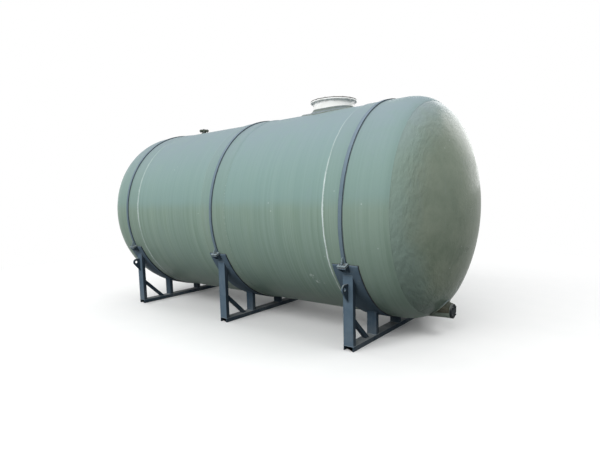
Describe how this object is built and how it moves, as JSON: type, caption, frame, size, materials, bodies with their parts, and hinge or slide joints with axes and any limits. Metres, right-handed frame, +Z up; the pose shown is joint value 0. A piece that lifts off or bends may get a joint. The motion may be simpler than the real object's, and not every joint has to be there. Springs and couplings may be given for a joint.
{
  "type": "fiberglass chemical tank",
  "caption": "Horizontal fiberglass storage tank with dished ends, strapped to three steel saddle frames, with manway, vent and drain.",
  "frame": {"origin": "on the floor under the middle of the tank, which is the middle of the box's bottom", "axes": "+X along the tank axis towards the end with the drain, +Z up, +Y to the left of someone who looks along +X"},
  "size_m": [5.5388, 2.544, 2.839],
  "materials": {
    "wound_laminate": "gloss",
    "hand_laminate": "satin",
    "white_gelcoat": "satin",
    "black_rubber": "matte",
    "frame_paint": "satin",
    "dark_flange_steel": "satin"
  },
  "bodies": {
    "root": {"tank_shell": "wound_laminate", "near_head": "hand_laminate", "far_head": "hand_laminate", "near_end_wrap": "wound_laminate", "far_end_wrap": "wound_laminate", "middle_wrap": "wound_laminate", "manway_neck": "white_gelcoat", "manway_gasket": "black_rubber", "manway_cover": "white_gelcoat", "manway_pad": "hand_laminate", "vent_nozzle": "hand_laminate", "vent_blind_flange": "dark_flange_steel", "drain_nozzle": "hand_laminate", "drain_blind_flange": "dark_flange_steel", "far_base_channel": "frame_paint", "far_outer_posts": "frame_paint", "far_inner_posts": "frame_paint", "far_braces": "frame_paint", "far_saddle_plate": "frame_paint", "far_liner": "black_rubber", "far_strap": "frame_paint", "far_strap_clamps": "frame_paint", "far_lifting_lugs": "frame_paint", "middle_base_channel": "frame_paint", "middle_outer_posts": "frame_paint", "middle_inner_posts": "frame_paint", "middle_braces": "frame_paint", "middle_saddle_plate": "frame_paint", "middle_liner": "black_rubber", "middle_strap": "frame_paint", "middle_strap_clamps": "frame_paint", "near_base_channel": "frame_paint", "near_outer_posts": "frame_paint", "near_inner_posts": "frame_paint", "near_braces": "frame_paint", "near_saddle_plate": "frame_paint", "near_liner": "black_rubber", "near_strap": "frame_paint", "near_strap_clamps": "frame_paint", "near_lifting_lugs": "frame_paint"}
  },
  "joints": []
}
